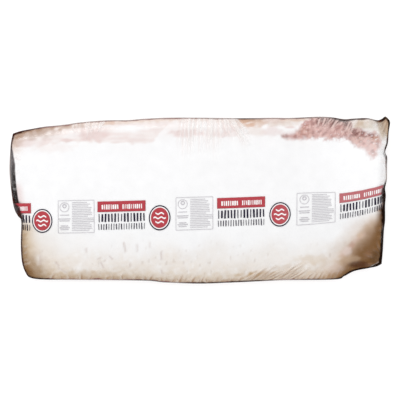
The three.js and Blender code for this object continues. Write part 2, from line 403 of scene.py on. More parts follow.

# The colours of the belly. The fat is white, with a blush where lean lies close under it, tan and brown
# where juice has stained it, and layers of lean and fat down its sides. Painted shade deepens the tan and
# brown on its sloping edges and corners and darkens the north edge and the feet of the creases; painted
# highlights lie on the crease ridges and wrinkles, and painted light on the east of the top.
FAT = linear(238, 238, 239)
PAINTED_LIGHT_FAT = linear(245, 245, 246)
BLUSH = linear(212, 184, 180)
SOFT_SHADE = linear(226, 212, 208)
EDGE_CREAM = linear(214, 192, 178)
EDGE_SAND = linear(212, 194, 182)
ORANGE_BLUSH = linear(200, 158, 130)
LEAN = linear(190, 148, 143)
PALE_LEAN = linear(205, 170, 165)
ROSE_LEAN = linear(222, 198, 194)
THIN_LEAN = linear(224, 200, 197)
DARK_LEAN = linear(122, 82, 76)
RIDGE_LEAN = linear(226, 196, 188)
TAN_LEAN = linear(176, 130, 102)
WALL_LEAN = linear(122, 66, 60)
END_LEAN = linear(118, 111, 114)
END_SHADOW = linear(30, 21, 18)
PIT = linear(172, 152, 138)
WRINKLE_SHADE = linear(188, 170, 164)
BEIGE_JUICE_AND_SHADE = linear(194, 165, 124)
TAN_EDGE = linear(158, 118, 82)
JUICE_TAN = linear(178, 146, 104)
EDGE_BROWN = linear(158, 126, 104)
CORNER_BROWN = linear(112, 80, 58)
DARK_BROWN = linear(104, 72, 54)
CORNER_TAN = linear(198, 174, 152)
CORNER_AMBER = linear(192, 160, 128)
STAIN_AND_SHADE = linear(118, 82, 44)
DEEP_STAIN_AND_SHADE = linear(110, 75, 38)
UNDER_LEAN = linear(146, 82, 76)
UNDER_FAT = linear(226, 206, 196)

LEAN_PATCH = side(  # where lean comes through the cap, along the north-east edge
    (135.8, 107.5), (144, 110.8), (155.8, 111.7), (162.5, 117.5), (169, 125.8), (180, 134), (205, 142),
    (238, 143), (250, 138), (253, 128), (255, 119.5), (264, 119.5), (274, 116), (281, 113), (291, 112),
    (299, 107), (301, 99), (299, 87.5), (291, 73), (286, 69), (279, 81), (272, 85), (264, 89), (254, 93.5),
    (246, 102.5), (234, 101), (219, 100.5), (203, 101.5), (188, 103), (167.5, 100), (151, 100.8),
    (137.5, 103.3), (135.8, 107.5),
)(np.linspace(0, 1, 90))
LONG_THIN_CAP = side(  # where the cap is thin along the north edge, so that lean shines through
    (-330, 160), (-318, 100), (-309, 88), (-282, 87), (-257, 91), (-237, 95), (-207, 96), (-157, 95.5),
    (-116, 94), (-86, 94), (-77, 99), (-69, 109), (-59, 119), (-49, 131), (-30, 160),
)(np.linspace(0, 1, 60))
SHORT_THIN_CAP = side(
    (-62, 160), (-58, 117), (-46, 108), (-36, 106), (0, 106), (59, 106), (68, 111), (60, 121), (56, 160),
)(np.linspace(0, 1, 40))
BLUSHES = [  # centre, radii, strength and colour of the spots that differ from what is round them
    ((-118, 119), (26, 5), 0.75, FAT),
    ((-214, 108), (14, 5), 0.5, FAT),
    ((-222, 99), (11, 2.2), 0.5, BLUSH),
    ((-178, 108), (22, 9), 0.55, BLUSH),
    ((-118, 100), (32, 4), 0.15, BLUSH),
    ((-292, 95), (16, 7), 0.35, BLUSH),
    ((-258, 96), (10, 6), 0.25, BLUSH),
    ((-150, 129), (8, 3), 0.4, ORANGE_BLUSH),
    ((-24, 111), (22, 6), 0.55, BLUSH),
    ((34, 109), (22, 4), 0.35, BLUSH),
    ((6, 124), (12, 6), 0.6, FAT),
    ((50, 118), (14, 8), 0.35, BLUSH),
    ((74, 133), (22, 5), 0.75, ORANGE_BLUSH),
    ((84, 125), (9, 3), 0.55, ORANGE_BLUSH),
    ((128, 131), (34, 7), 0.45, EDGE_SAND),
    ((95, 128), (14, 6), 0.4, ORANGE_BLUSH),
    ((124, 132), (16, 4), 0.35, BLUSH),
    ((150, 120.8), (8, 1.6), 0.5, BLUSH),
    ((156, 135), (16, 3), 0.35, ORANGE_BLUSH),
    ((-290, 114), (40, 11), 0.6, EDGE_BROWN),
    ((-296, 120), (32, 7), 0.95, EDGE_BROWN),
    ((-300, 122), (24, 5), 0.85, DARK_BROWN),
    ((-302, 116), (12, 4), 0.6, CORNER_BROWN),
    ((-236, 124), (40, 5), 0.4, EDGE_BROWN),
    ((278, 129), (18, 8), 0.6, linear(202, 192, 176)),
    ((255, 131), (14, 10), 0.7, linear(204, 186, 170)),
    ((80, 136), (24, 5), 0.5, EDGE_BROWN),
    ((68, 127), (14, 8), 0.4, ORANGE_BLUSH),
    ((94, 114), (13, 7), 0.2, ORANGE_BLUSH),
    ((120, 114), (14, 7), 0.35, BLUSH),
    ((134, 128), (26, 6), 0.3, linear(206, 186, 174)),
    ((258, 127), (16, 9), 0.7, linear(192, 168, 146)),
    ((285, 124), (15, 11), 0.45, linear(194, 178, 160)),
    ((-308, 112), (14, 9), 0.5, EDGE_BROWN),
    ((-312, 102), (12, 12), 0.45, EDGE_BROWN),
    ((66, -94), (44, 12), 0.22, FAT),
    ((-252, -64), (24, 13), 0.25, FAT),
    ((-246, 87), (30, 7), 0.3, SOFT_SHADE),
    ((104, -129), (28, 7), 0.85, JUICE_TAN),
    ((142, -116), (20, 8), 0.2, JUICE_TAN),
    ((188, -100), (22, 7), 0.3, BEIGE_JUICE_AND_SHADE),
    ((168, -127), (24, 6), 0.4, linear(218, 202, 186)),
    ((227, -115), (13, 8), 0.3, SOFT_SHADE),
    ((257, -101), (12, 7), 0.35, linear(206, 182, 158)),
    ((-186, -128), (50, 8), 0.25, JUICE_TAN),
]
WRINKLES = [  # middle, run and strength of the short wrinkles painted in shade, with a highlight, on the south flank
    ((-126, -79), (3, -14), 0.55), ((-105, -81), (0, -10), 0.35), ((-65, -93), (1, -12), 0.55),
    ((-84, -75), (0, -7), 0.3), ((-164, -109), (4, -8), 0.5), ((-149, -97), (4, -4), 0.5),
    ((-169, -98), (5, 2), 0.4), ((-117, -109), (0, -5), 0.4), ((-190, -84), (0, -5), 0.4),
    ((-268, -101), (-1, -13), 0.4), ((-239, -108), (4, -5), 0.5), ((-231, -118), (13, -8), 0.35),
    ((-64, -121), (2, -5), 0.5),
]
DIMPLE_HIGHLIGHTS = [  # centre and radius of the painted highlights of dimples between them
    ((-171, -91), 4), ((-116, -101), 4), ((-204, -114), 6), ((-68, -112), 4), ((-192, -96), 5),
]
LEAN_TONES = [  # centre, radii, strength and colour of the uneven lean in the patch
    ((178, 115), (14, 9), 0.25, TAN_LEAN),
    ((222, 110), (34, 7), 0.4, PALE_LEAN),
    ((202, 117), (18, 10), 0.9, PALE_LEAN),
    ((215, 130), (34, 8), 0.35, DARK_LEAN),
    ((257, 113), (13, 7), 0.65, DARK_LEAN),
    ((273, 108), (14, 6), 0.45, DARK_LEAN),
    ((289, 106), (10, 4), 0.5, DARK_LEAN),
    ((293, 101), (8, 5), 0.7, TAN_LEAN),
    ((263, 100), (9, 5), 0.5, EDGE_CREAM),
    ((283, 88), (19, 12), 0.9, ROSE_LEAN),
    ((258, 99), (13, 6), 0.5, PALE_LEAN),
    ((289, 76), (12, 11), 0.9, THIN_LEAN),
    ((141, 105.5), (7, 4), 0.5, DARK_LEAN),
]
PALE_SEAM = [(238, -92), (248, -84), (258, -70), (274, -58)]  # a ridge of fat across the stained and shaded corner
PALE_SEAM_TONE = linear(212, 184, 176)
CORNER_SPOTS = [  # centre, radius, strength and colour of the spots beside it: a painted highlight and painted shade of the ridge, then clots
    ((247, -86), 8, 0.5, SOFT_SHADE),
    ((255, -76), 5, 0.5, linear(180, 142, 126)),
    ((268, -60), 5, 0.4, linear(206, 180, 154)),
    ((284, -92), 7, 0.3, linear(140, 104, 84)),
]


class MeatTint:
    """The colour of each point of the belly, laid on in coats, and what the coats are placed by."""

    def __init__(self, x, y, z):
        self.x, self.y, self.z = x, y, z
        self.colour = np.repeat(FAT[None], len(x), axis=0)
        self.grain = mottle(x, y, 9, seed=41)
        self.fine = mottle(x, y, 3.4, seed=45)
        self.broad = mottle(x, y, 40, seed=42)
        self.from_west = self.from_side("west")
        self.to_corner = 0.78 * x - 0.62 * y + 1.2 * self.grain + 2.2 * self.broad  # the south-east one
        # the south, where the browns of juice and painted shade reach
        self.south_stain_and_shade = smooth((-12 - y) / 34)
        waist = waist_height(x, y)
        crest = waist + (pressed_height(x, y) - waist) * (1 - ear_share(x, y))
        self.layer = (crest - z) / crest + 0.03 * mottle(x, y, 26, seed=43) + 0.015 * self.grain

    def from_side(self, name):
        return line_distance(self.x, self.y, meat_sides[name](np.linspace(0, 1, 60)))

    def lay(self, target, mask):
        """One coat: moves the colour towards the target, as far as the mask says."""
        self.colour = self.colour + (target - self.colour) * clamp01(mask)[:, None]

    def lay_spots(self, zones, within=1.0):
        for (cx, cy), (rx, ry), strength, target in zones:
            reach = np.hypot((self.x - cx) / rx, (self.y - cy) / ry)
            self.lay(target, within * strength * smooth(1.6 - reach + 0.2 * self.grain))


def tint_north_edge(meat):
    """The cap is thin along the north edge, in long soft bands. Painted shade darkens the north edge and the
    north of the west edge to cream and brown, and painted light brightens the east of the top.
    """
    x, y, grain, lay = meat.x, meat.y, meat.grain, meat.lay
    north, west = meat.from_side("north"), meat.from_west
    bands = mottle(0.14 * x, y, 5, seed=48)
    # painted shade: the fat darkens softly towards the north edge
    lay(SOFT_SHADE, 0.25 * smooth((58 + 8 * meat.broad - north) / 60))
    for zone, strength in ((LONG_THIN_CAP, 0.5), (SHORT_THIN_CAP, 0.16)):
        within = smooth((inside_distance(x, y, zone) + grain + 1.5) / 3.5) * smooth((x + 330) / 130)
        lay(SOFT_SHADE, strength * within)
        lay(BLUSH, 0.32 * strength * within * smooth(0.4 + 0.6 * bands + 0.3 * grain))
        lay(FAT, 0.5 * strength * within * smooth(-0.5 - 0.9 * bands) * smooth((x + 270) / 50))
    # painted light: the east of the top is brightened where the hollow tilts it away from the light
    lay(PAINTED_LIGHT_FAT, smooth((x - 150) / 120) * smooth((y + 40) / 60))
    # painted shade in cream and brown along the north edge and the north of the west edge, where the fat
    # turns away
    lay(EDGE_CREAM, 0.75 * smooth((11 - north + 1.5 * grain) / 10))
    lay(EDGE_CREAM, 0.75 * smooth((34 - west + grain) / 32) * smooth((y - 66) / 26))
    lay(EDGE_CREAM, 0.3 * smooth((36 - north) / 34) * smooth((-170 - x) / 80))
    lay(EDGE_BROWN, 0.7 * smooth((7 - north + grain) / 6) * smooth((-150 - x) / 90))


def tint_juice_and_slope_shade(meat):
    """Juice under the film, deepened by painted shade where the fat slopes away from the light: beige that
    deepens to tan at the south edge, brown at both southern corners.
    """
    x, y, grain, lay = meat.x, meat.y, meat.grain, meat.lay
    south, west, east = meat.from_side("south"), meat.from_west, meat.from_side("east")
    corner, south_stain_and_shade = meat.to_corner, meat.south_stain_and_shade
    # juice and painted shade: beige deepening towards the south edge, where the flank slopes away from the
    # light
    lay(BEIGE_JUICE_AND_SHADE, (0.42 + 0.05 * grain) * smooth((-y - 52 + 6 * meat.broad) / 94))
    lay(FAT, 0.28 * smooth((mottle(1.6 * x, y, 14, seed=50) - 0.6) / 0.9) * smooth((-y - 60) / 30))
    lay(BEIGE_JUICE_AND_SHADE, 0.35 * smooth((22 - south + 1.5 * grain) / 18))
    lay(TAN_EDGE, 0.5 * smooth((9 - south + grain) / 8))
    # juice and painted shade along the south of the west end and in the south-west corner
    lay(BEIGE_JUICE_AND_SHADE, 0.8 * smooth((38 - west + 1.5 * grain) / 36) * smooth((-24 - y) / 26))
    lay(BEIGE_JUICE_AND_SHADE, 0.35 * smooth((100 - west + 4 * meat.broad) / 80) * smooth((-30 - y) / 50))
    lay(STAIN_AND_SHADE, 0.62 * smooth((18 - west + grain) / 16) * smooth((-30 - y) / 44))
    lay(STAIN_AND_SHADE, 0.9 * smooth((70 - np.hypot(x + 306, y + 138) + 2 * grain) / 56))
    # juice and painted shade in the south-east corner, where the hollow slopes steeply away from the light
    lay(CORNER_TAN, 0.4 * smooth((corner - 210) / 26) * south_stain_and_shade)
    lay(CORNER_AMBER, 0.7 * smooth((corner - 232) / 18) * south_stain_and_shade)
    lay(STAIN_AND_SHADE, 0.95 * smooth((corner - 235) / 36) * south_stain_and_shade)
    lay(DEEP_STAIN_AND_SHADE, smooth((corner - 267) / 26) * south_stain_and_shade)
    # juice and painted shade at the south of the east end
    lay(STAIN_AND_SHADE, 0.92 * smooth((20 - east) / 15) * smooth((-5 - y) / 12))
    seam = line_distance(x, y, np.array(PALE_SEAM))
    lay(PALE_SEAM_TONE, 0.35 * bell((seam + meat.fine) / 4))
    # a painted highlight and painted shade on the ridge, and clots
    for (cx, cy), radius, strength, target in CORNER_SPOTS:
        lay(target, strength * smooth(1.5 - np.hypot(x - cx, y - cy + meat.fine) / radius))


def tint_flank(meat):
    """Pits, and painted relief on the fat of the south flank: short wrinkles in painted shade with a painted
    highlight on their west side, and dimples as painted highlights.
    """
    x, y, lay = meat.x, meat.y, meat.lay
    pits = smooth((mottle(1.5 * x, 0.8 * y, 9, seed=46) - 1.1) / 0.7) * smooth((-y - 50) / 50)
    lay(PIT, 0.24 * pits)
    for middle, run, strength in WRINKLES:
        ends = np.add(middle, np.outer((-0.5, 0.5), run))
        # painted shade along each wrinkle, and a painted highlight beside it to the west
        lay(WRINKLE_SHADE, strength * bell(line_distance(x, y, ends) / 1.8))
        lay(FAT, 0.5 * strength * bell(line_distance(x + 3, y, ends) / 1.8))
    # painted highlights in the dimples
    for (cx, cy), radius in DIMPLE_HIGHLIGHTS:
        lay(FAT, 0.5 * bell(np.hypot(x - cx, y - cy) / radius))


def tint_lean_patch(meat):
    """Lean that comes through the cap, with a soft ragged edge towards the middle and specks of fat. Returns
    how far each point is lean."""
    x, y, fine, lay = meat.x, meat.y, meat.fine, meat.lay
    ragged = 2.2 * meat.grain + 1.5 * fine
    ragged = ragged * (0.25 + 0.75 * smooth((x - 150) / 30) - 0.45 * smooth((x - 252) / 12))
    open_side = smooth((128 - y) / 12)  # towards the middle, where the cap thickens gradually
    patch = inside_distance(x, y, LEAN_PATCH) + ragged * (0.3 + 0.7 * open_side)
    lean = smooth((patch + 2.5 + 2 * open_side) / (5 + 6 * open_side))
    lay(LEAN, lean)
    meat.lay_spots(LEAN_TONES, lean)
    clumps = mottle(x, y, 7.5, seed=49)
    lay(RIDGE_LEAN, 0.55 * lean * smooth((clumps - 0.1) / 0.9))
    lay(DARK_LEAN, 0.35 * lean * smooth((-0.2 - clumps) / 0.9))
    speckled = smooth((fine - 1.1 + 0.4 * smooth((x - 262) / 20)) / 0.5) * smooth((meat.z - 24) / 6)
    lay(FAT, 0.65 * lean * speckled)
    return lean


def tint_creases(meat, lean):
    """Creases are painted: a pale painted highlight on each ridge and painted shade at its foot, darkest
    over the lean.
    """
    y, lay = meat.y, meat.lay
    ridge, foot = creases(meat.x, y)
    ridge_highlight = clamp01(ridge / 1.4) * (1 - 0.8 * smooth((meat.to_corner - 228) / 24) * meat.south_stain_and_shade)
    # painted highlight on the ridges, painted shade at their feet
    lay(FAT, 0.45 * ridge_highlight * (1 - lean))
    lay(RIDGE_LEAN, 0.85 * ridge_highlight * lean)
    lay(SOFT_SHADE, 0.55 * foot * (1 - lean) * (y > 0))
    lay(TAN_EDGE, 0.8 * foot * (y < 0))
    lay(DARK_LEAN * 0.8, clamp01(1.3 * foot) * lean * smooth((y - 112) / 12))


def tint_walls(meat):
    """The sides: the cap, a layer of lean, a seam of fat and the streaked lean of the underside."""
    x, y, layer, lay = meat.x, meat.y, meat.layer, meat.lay
    fat_seam = bell((layer - 0.62 - 0.03 * mottle(x, y, 60, seed=47)) / 0.045)
    lay(WALL_LEAN, smooth((layer - 0.34) / 0.05) * (1 - 0.85 * fat_seam))
    lay(UNDER_LEAN, smooth((layer - 0.8) / 0.06))
    streaks = smooth(mottle(0.22 * x, y, 9, seed=44) * 1.3 + 0.3 * meat.grain - 0.35)
    lay(UNDER_FAT, smooth((layer - 0.86) / 0.08) * streaks * 0.75)


def tint_west_end(meat):
    """The west end is cut at a slant, so its dark lean shows from above, beside a pink margin of the cap."""
    y, west, lay = meat.y, meat.from_west, meat.lay
    at_west = meat.x < 0
    strip = (7.6 * smooth((100 - y) / 20) + 6.4 * smooth((86 - y) / 30)) * smooth((y + 36) / 22)
    margin = smooth((strip + 15 - west) / 15) * smooth((36 - y) / 20) * smooth((y + 30) / 10)
    lay(BLUSH, 0.55 * margin * at_west)
    slant = smooth((strip - west) / 2) * at_west * (1 - 0.7 * smooth((meat.layer - 0.5) / 0.12))
    lay(END_LEAN, slant * 0.97)
    lay(PALE_LEAN, slant * 0.35 * smooth((meat.fine - 0.9) / 0.8) * smooth((y - 26) / 14))
    across = west / np.maximum(strip, 0.1)
    shadow = smooth((across - 0.05) / 0.5) * (0.6 + 0.4 * smooth((64 - y) / 24)) + smooth((28 - y) / 14)
    lay(END_SHADOW, slant * clamp01(shadow))


meat = MeatTint(*meat_points.T)
tint_north_edge(meat)
tint_juice_and_slope_shade(meat)
meat.lay_spots(BLUSHES)
tint_flank(meat)
meat_lean = tint_lean_patch(meat)
tint_creases(meat, meat_lean)
tint_walls(meat)
tint_west_end(meat)


def feed(tree, node, inputs):
    """Gives inputs of a node, by name or number, each a value or the output of another node."""
    for name, value in inputs.items():
        if isinstance(value, bpy.types.NodeSocket):
            tree.links.new(value, node.inputs[name])
        else:
            node.inputs[name].default_value = value


def add_node(tree, kind, inputs, output=0, **settings):
    """Adds a shader node with its settings and inputs, and gives one of its outputs."""
    node = tree.nodes.new("ShaderNode" + kind)
    for name, value in settings.items():
        setattr(node, name, value)
    feed(tree, node, inputs)
    return node.outputs[output]


def painted(tree, name, output="Fac"):
    """What paint() keeps under the name: a value, or with the output Color a colour."""
    return add_node(tree, "Attribute", {}, output, attribute_name=name)


def new_look(name):
    """A new material and its node tree."""
    look = bpy.data.materials.new(name)
    look.use_nodes = True
    return look, look.node_tree


def uneven_tone_group():
    """A node group that makes a colour a little darker and brighter from place to place: a noise of one
    scale, whose low and high values stand for the darkest and the brightest tone."""
    group = bpy.data.node_groups.new("uneven_tone", "ShaderNodeTree")
    group.interface.new_socket("Color", in_out="INPUT", socket_type="NodeSocketColor")
    for name in ("Scale", "Detail", "Low", "High", "Darkest", "Brightest"):
        group.interface.new_socket(name, in_out="INPUT", socket_type="NodeSocketFloat")
    group.interface.new_socket("Color", in_out="OUTPUT", socket_type="NodeSocketColor")
    given = group.nodes.new("NodeGroupInput").outputs
    place = add_node(group, "TexCoord", {}, "Object")
    noise = add_node(group, "TexNoise",
                     {"Vector": place, "Scale": given["Scale"], "Detail": given["Detail"]}, "Fac")
    tone = add_node(group, "MapRange", {
        "Value": noise, "From Min": given["Low"], "From Max": given["High"],
        "To Min": given["Darkest"], "To Max": given["Brightest"]}, "Result")
    toned = add_node(group, "VectorMath", {0: given["Color"], "Scale": tone}, "Vector",
                     operation="SCALE")
    feed(group, group.nodes.new("NodeGroupOutput"), {"Color": toned})
    return group


uneven_tone = uneven_tone_group()

belly_look, tree = new_look("moist_fat_and_lean")
place = add_node(tree, "TexCoord", {}, "Object")
fibre = add_node(tree, "TexNoise", {"Vector": place, "Scale": 260, "Detail": 4}, "Fac")
flecks = add_node(tree, "MapRange", {"Value": fibre, "From Min": 0.56, "From Max": 0.72}, "Result")
lean_share = painted(tree, "lean_share")
fleck_share = add_node(tree, "Math", {0: flecks, 1: lean_share}, operation="MULTIPLY")
meat_tint = painted(tree, "meat_tint", "Color")
flecked = add_node(tree, "Mix",
                   {"Factor": fleck_share, "A": meat_tint, "B": (*PALE_LEAN * 1.25, 1)}, "Result",
                   data_type="RGBA")
clouded = add_node(tree, "Group", {
    "Color": flecked, "Scale": 60, "Detail": 5, "Low": 0.3, "High": 0.7,
    "Darkest": 0.975, "Brightest": 1.01}, "Color", node_tree=uneven_tone)
relief = add_node(tree, "Bump", {"Strength": 0.15, "Distance": 0.0006, "Height": fibre}, "Normal")
feed(tree, tree.nodes["Principled BSDF"],
     {"Base Color": clouded, "Roughness": 0.42, "Specular IOR Level": 0.12, "Normal": relief})

belly = piece("pork_belly", meat_points, meat_faces, belly_look)
paint(belly, "meat_tint", meat.colour)
paint(belly, "lean_share", meat_lean)
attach(belly, "root")
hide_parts("vacuum_pack")

# ---------------------------------------------------------------------------------------------------------
# The bag: clear shrink film, drawn tight on the belly by vacuum and hot water. It ends in a flat seal along
# the east end, where its two empty corners are pressed to thin ears.

BAG_NORTH = NORTH + [(307, 136.6), (313, 141), EAR]
BAG_SOUTH = SOUTH + [(299, -112.6), SMALL_EAR]
BAG_EAST = [SMALL_EAR] + EAST + [(321.6, 131), EAR]
bag_sides = {"south": side(*BAG_SOUTH), "north": side(*BAG_NORTH),
             "west": side(*WEST), "east": side(*BAG_EAST)}
bag_columns = spacing(LENGTH, (ROUND["west"], ROUND["east"] + LIP), 16, 2.7, CREASED, 1.25)
bag_rows = spacing(WIDTH, (ROUND["south"], ROUND["north"]), 16, 2.2, CREASED_EDGES, 1.4)
bag_plan, bag_distance = stretched_plan(bag_sides, bag_columns, bag_rows)
FOLDS = [  # start, reach, rise and half width of the folds that gather at the ears
    ((314, 141), (-3, -44), 3.2, 3.0),
    ((307, 137), (0, -26), -2.2, 2.6),
    ((304, 135), (-16, -20), 1.4, 2.2),
    ((310, 118), (-20, -12), 1.2, 1.8),
    ((306, -107), (-30, 6), 1.6, 2.6),
    ((307, -104), (-6, 36), 1.6, 2.2),
]


def folds(x, y):
    """How far the folds at the ears lift the film."""
    lift = np.zeros(x.shape)
    for start, reach, rise, half in FOLDS:
        length = math.hypot(*reach)
        dx, dy = x - start[0], y - start[1]
        along = (dx * reach[0] + dy * reach[1]) / length**2
        beside = (dx * reach[1] - dy * reach[0]) / length
        lift += rise * np.exp(-np.abs(beside / half) ** 1.3) * smooth(1 - along) * smooth(1 + 4 * along)
    return lift


def top_of_bag():
    x, y = bag_plan[..., 0], bag_plan[..., 1]
    waist = waist_height(x, y)
    full = pressed_height(x, y) + creases(x, y)[0] + crinkle(x, y, bag_distance)
    height = waist + (full - waist) * rounding(bag_distance, LIP) * (1 - ear_share(x, y))
    nearest = np.minimum.reduce(list(bag_distance.values()))
    return np.dstack([bag_plan, height + folds(x, y) * smooth(nearest / 4)])


def under_bag(x, y):
    """The height of the bag's underside: flat, with slight waves."""
    return 0.2 * (1 + mottle(0.3 * x, y, 14, seed=31)).clip(0)


bag_top = top_of_bag()
bag_border = bag_top.reshape(-1, 3)[border(*bag_top.shape[:2])]
bag_points, bag_faces = closed_skin(bag_top, tucked(bag_border, 8, 0), under_bag, 8)
bag_x, bag_y, bag_z = bag_points.T

film_look, tree = new_look("clear_shrink_film")
tree.nodes.remove(tree.nodes["Principled BSDF"])
haze_share = painted(tree, "haze")
film_tint = painted(tree, "film_tint", "Color")
polish = painted(tree, "polish")
edge_on = add_node(tree, "LayerWeight", {"Blend": 0.5}, "Facing")
deepening = add_node(tree, "MapRange",
                     {"Value": edge_on, "From Min": 0.72, "From Max": 0.98}, "Result")
passed = add_node(tree, "Mix",
                  {"Factor": deepening, "A": (1, 1, 1, 1), "B": (0.38, 0.27, 0.2, 1)}, "Result",
                  data_type="RGBA")
clear = add_node(tree, "BsdfTransparent", {"Color": passed})
cloudy = add_node(tree, "BsdfDiffuse", {"Color": film_tint})
hazed = add_node(tree, "MixShader", {"Fac": haze_share, 1: clear, 2: cloudy})
shine = add_node(tree, "BsdfGlossy", {"Roughness": 0.12})
mirrored = add_node(tree, "Fresnel", {"IOR": 1.3})
capped = add_node(tree, "Math", {0: mirrored, 1: 0.065}, operation="MINIMUM")
dulled = add_node(tree, "Math", {0: capped, 1: polish}, operation="MULTIPLY")
filmed = add_node(tree, "MixShader", {"Fac": dulled, 1: hazed, 2: shine})
feed(tree, tree.nodes["Material Output"], {"Surface": filmed})

CLEAR_WHITE, CLEAR_CREAM = linear(250, 247, 245), linear(240, 226, 208)
EAR_TAN, FOLD_SHADE_TAN = linear(200, 172, 146), linear(150, 120, 100)
DARK_JUICE_AND_SHADE, THIN_JUICE_AND_SHADE = linear(26, 14, 9), linear(74, 36, 26)  # juice and painted shade where they stand thick and thin
JUICE_AND_SHADE_LINE = [  # centre, reach, extra width and extra darkness of the juice and painted shade at the bag's edge
    ((-300, 118), 32, 1.3, 0.75), ((-319, 98), 16, 0.2, 0.5), ((-318, 8), 16, 2.0, 0.75),
    ((-309, -20), 16, 6.6, 0.8), ((-302, -52), 20, 0.8, 0.5), ((-301, -84), 26, 0.8, 0.6),
    ((-292, -122), 26, 1.6, 0.7), ((-262, -134), 22, 0.6, 0.4), ((-90, -136), 34, 0.8, 0.35),
    ((0, -141), 34, 1.2, 0.5), ((70, -139), 38, 1.1, 0.5), ((102, -138), 28, 0.6, 0.3),
    ((190, -134), 34, 0.5, 0.35), ((252, -124), 26, 2.0, 0.75), ((290, -114), 24, 1.2, 0.65),
    ((307, -104), 12, 1.2, 0.7), ((309, -64), 34, 1.8, 0.75), ((312, -24), 16, 6.6, 0.75),
    ((313, 8), 13, 8.6, 0.75), ((313, 24), 8, 1.2, 0.5), ((316, 88), 24, 1.6, 0.85),
    ((323, 124), 13, 0.7, 0.9), ((304, 136), 9, 1.9, 0.8), ((270, 137), 18, 1.1, 0.55),
    ((238, 137), 17, 2.9, 0.85), ((180, 139), 22, 0.4, 0.3), ((78, 138), 26, 0.8, 0.45),
    ((14, 139), 26, 0.3, 0.2),
]
FILM_STAINS = [  # centre, radii, haze and colour of what lies folded in the film, partly painted shade at the ends
    ((315, 124), (5.5, 15), 0.85, linear(190, 160, 130)),
    ((306, 121), (8, 17), 0.55, linear(208, 188, 164)),
    ((303, 134), (4, 3), 0.8, linear(112, 66, 56)),
    ((312, -18), (8, 28), 0.55, linear(104, 66, 44)),
    ((-306, -20), (9, 14), 0.7, linear(66, 42, 36)),
    ((303, -100), (13, 13), 0.6, linear(108, 76, 44)),
    ((268, -109), (15, 5), 0.5, linear(88, 52, 36)),
]
LINE_WIDTH, END_TURN = 0.9, 2.4  # width of the line of juice and painted shade, and how much wider it is at the shaded steep ends
bag_outline = np.vstack([bag_border[:, :2], bag_border[:1, :2]])[::6]


def juice_and_edge_shade(x, y, z, softness=1.2, spread=1.0):
    """How dark the juice and the painted shade are at each point: a line along the outline, of uneven width
    and strength, which breaks up into streaks down the walls."""
    more_width, more_strength = 0, 0
    for (cx, cy), reach, wider, darker in JUICE_AND_SHADE_LINE:
        near = bell(np.hypot(x - cx, y - cy) / reach)
        more_width = more_width + near * wider
        more_strength = more_strength + near * darker
    width = LINE_WIDTH + more_width * (1 + 0.3 * mottle(x, y, 12, seed=71))
    width = width + END_TURN * smooth((np.abs(x) - LENGTH / 2 + 32) / 14)
    inside = width * spread - line_distance(x, y, bag_outline)
    streaks = smooth(0.5 + 0.7 * mottle(0.4 * (x - y), 2 * z, 12, seed=72))
    brink = WAIST - 2 + 3 * smooth((x + 290) / 20)  # it reaches lower down the west end
    left = 1 - smooth((brink - z) / 6) * (0.97 - 0.4 * streaks)
    return smooth(inside / softness + 0.5) * clamp01(0.26 + 1.5 * more_strength) * left


def clouded_film(haze, tint, share, target):
    """The haze and the tint of the film, once it has a further haze of one colour over the ones it has."""
    share = clamp01(share)
    together = 1 - (1 - haze) * (1 - share)
    return together, tint + (target - tint) * (share / np.maximum(together, 1e-6))[:, None]


# how far juice and painted shade darken the film along its edge
bag_juice_and_edge_shade = juice_and_edge_shade(bag_x, bag_y, bag_z)
bag_ridge, bag_crease_shade = creases(bag_x, bag_y)
from_east = line_distance(bag_x, bag_y, bag_sides["east"](np.linspace(0, 1, 90)))
from_west = line_distance(bag_x, bag_y, bag_sides["west"](np.linspace(0, 1, 60)))
from_outline = line_distance(bag_x, bag_y, bag_outline)

# Where the film lies on dark meat, juice or painted shade it shows no haze and no shine.
upper_edge = (bag_z > waist_height(bag_x, bag_y) - 2) * smooth((9 - from_outline) / 6)
dark_end = 0.85 * smooth((17 - from_west) / 4) * smooth((bag_y + 45) / 12) * smooth((104 - bag_y) / 10)
dark_corner = 0.92 * smooth((0.78 * bag_x - 0.62 * bag_y - 229) / 20) * smooth((2 - bag_y) / 20)
dark_foot = 0.75 * smooth((70 - np.hypot(bag_x + 306, bag_y + 138)) / 50)
over_lean = smooth((bag_x - 186) / 16) * smooth((bag_y - 90) / 20)

# The ridges of the creases are hazy, and partly a painted highlight; the seal and the ears are tan, their
# folds tan with painted shade, and juice and painted shade cloud the edge.
film_haze = 0.5 * clamp01(bag_ridge / 1.4) * (bag_z > WAIST) * (1 - dark_corner) * (1 - 0.75 * over_lean)
film_haze = film_haze * smooth(from_outline / 4) * (1 - 0.3 * smooth((-100 - bag_y) / 20))
film_rgb = CLEAR_WHITE + (CLEAR_CREAM - CLEAR_WHITE) * smooth((-90 - bag_y) / 30)[:, None]
seal = smooth((LIP + 1 - from_east) / 1.5)
seal_juice_and_shade = smooth((bag_x - 288) / 14) * smooth((62 - bag_y) / 24)  # where juice stands thick at the seal, with painted shade
thin = smooth((bag_z - WAIST - 1) / 8) * (1 - seal_juice_and_shade)
thin = clamp01(thin * (0.75 + 0.25 * mottle(bag_x - bag_y, bag_z, 9, seed=73)))
clouds = [(0.3 * seal * (bag_z > WAIST - 3), EAR_TAN)]
for (cx, cy), (rx, ry), strength, target in FILM_STAINS:
    clouds.append((strength * smooth(1.6 - np.hypot((bag_x - cx) / rx, (bag_y - cy) / ry)), target))
# painted shade in the folds by the north-east ear
clouds.append((0.7 * bag_crease_shade * smooth(1 - np.hypot(bag_x - 314, bag_y - 128) / 34), FOLD_SHADE_TAN))
clouds.append((bag_juice_and_edge_shade * (0.98 - 0.16 * thin), DARK_JUICE_AND_SHADE + (THIN_JUICE_AND_SHADE - DARK_JUICE_AND_SHADE) * thin[:, None]))
for share, target in clouds:
    film_haze, film_rgb = clouded_film(film_haze, film_rgb, share, target)

